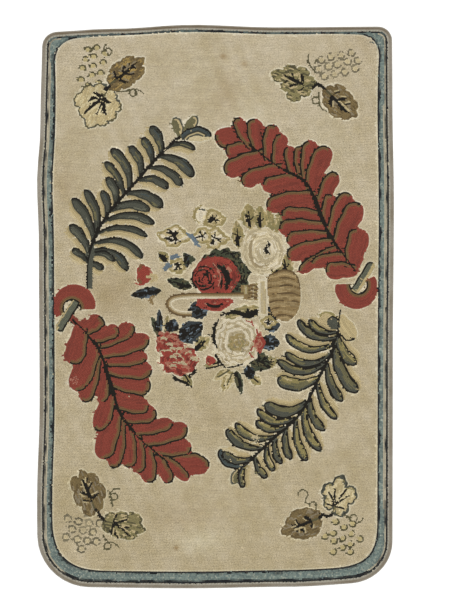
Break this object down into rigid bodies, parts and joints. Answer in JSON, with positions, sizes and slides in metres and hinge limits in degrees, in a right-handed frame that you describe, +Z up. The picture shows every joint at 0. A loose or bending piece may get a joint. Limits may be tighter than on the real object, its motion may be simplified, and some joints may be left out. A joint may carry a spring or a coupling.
{
  "type": "hooked rug",
  "caption": "Flat hooked wool rug with leaf plumes, flowers and vine sprays on a cream ground, a striped border and a folded tape binding, to lie on a floor.",
  "frame": {"origin": "on the floor, under the middle of the rug's outline", "axes": "+Z up out of the pile, +Y along the length towards the head end, +X across the width"},
  "size_m": [0.965, 1.5239, 0.008],
  "materials": {
    "wool_pile": "low loops of worn wool, cream ground with brick red, slate green, blue and dark outlines, matt",
    "cotton_tape": "grey-tan woven twill tape, faded and matt"
  },
  "bodies": {
    "root": {"hooked_cloth": "wool_pile", "binding_tape": "cotton_tape"}
  },
  "joints": []
}
